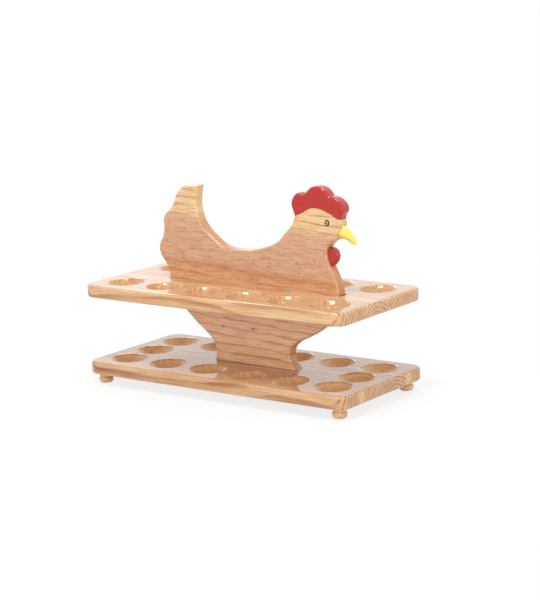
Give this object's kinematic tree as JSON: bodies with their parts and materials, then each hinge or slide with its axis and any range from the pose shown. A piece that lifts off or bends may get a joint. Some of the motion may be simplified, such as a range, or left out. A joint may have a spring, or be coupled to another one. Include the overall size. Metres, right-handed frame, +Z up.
{
  "type": "egg holder",
  "caption": "Wooden egg rack of stacked trays with dished cups, carried by a flat hen-shaped board with red comb and wattle, yellow beak and black eyes, on small turned feet.",
  "frame": {"origin": "centre of the footprint of the trays, on the plane the feet stand on", "axes": "+X along the trays towards the hen's head, +Y across the trays to the back, +Z up"},
  "size_m": [0.356, 0.162, 0.234],
  "materials": {
    "tray_pine": "clear gloss varnish over pine with a fine straight grain",
    "board_pine": "clear gloss varnish over pinkish pine with growth lines along the board",
    "red_paint": "gloss red stain and varnish on wood",
    "yellow_paint": "gloss yellow paint on carved wood",
    "eye_black": "glossy black bead with a cream ring round the pupil",
    "turned_wood": "clear gloss varnish over turned wood",
    "dowel_wood": "plain birch dowel",
    "screw_steel": "zinc-plated steel"
  },
  "bodies": {
    "root": {"lower_tray": "tray_pine", "upper_tray": "tray_pine", "hen_board": "board_pine", "comb": "red_paint", "wattle": "red_paint", "beak": "yellow_paint", "eye_front": "eye_black", "eye_back": "eye_black", "foot_front_left": "turned_wood", "foot_front_right": "turned_wood", "foot_back_left": "turned_wood", "foot_back_right": "turned_wood", "tray_dowel_tail": "dowel_wood", "tray_dowel_breast": "dowel_wood", "comb_dowel_rear": "dowel_wood", "comb_dowel_front": "dowel_wood", "beak_dowel": "dowel_wood", "wattle_dowel": "dowel_wood", "base_screw_tail": "screw_steel", "base_screw_breast": "screw_steel"}
  },
  "joints": []
}
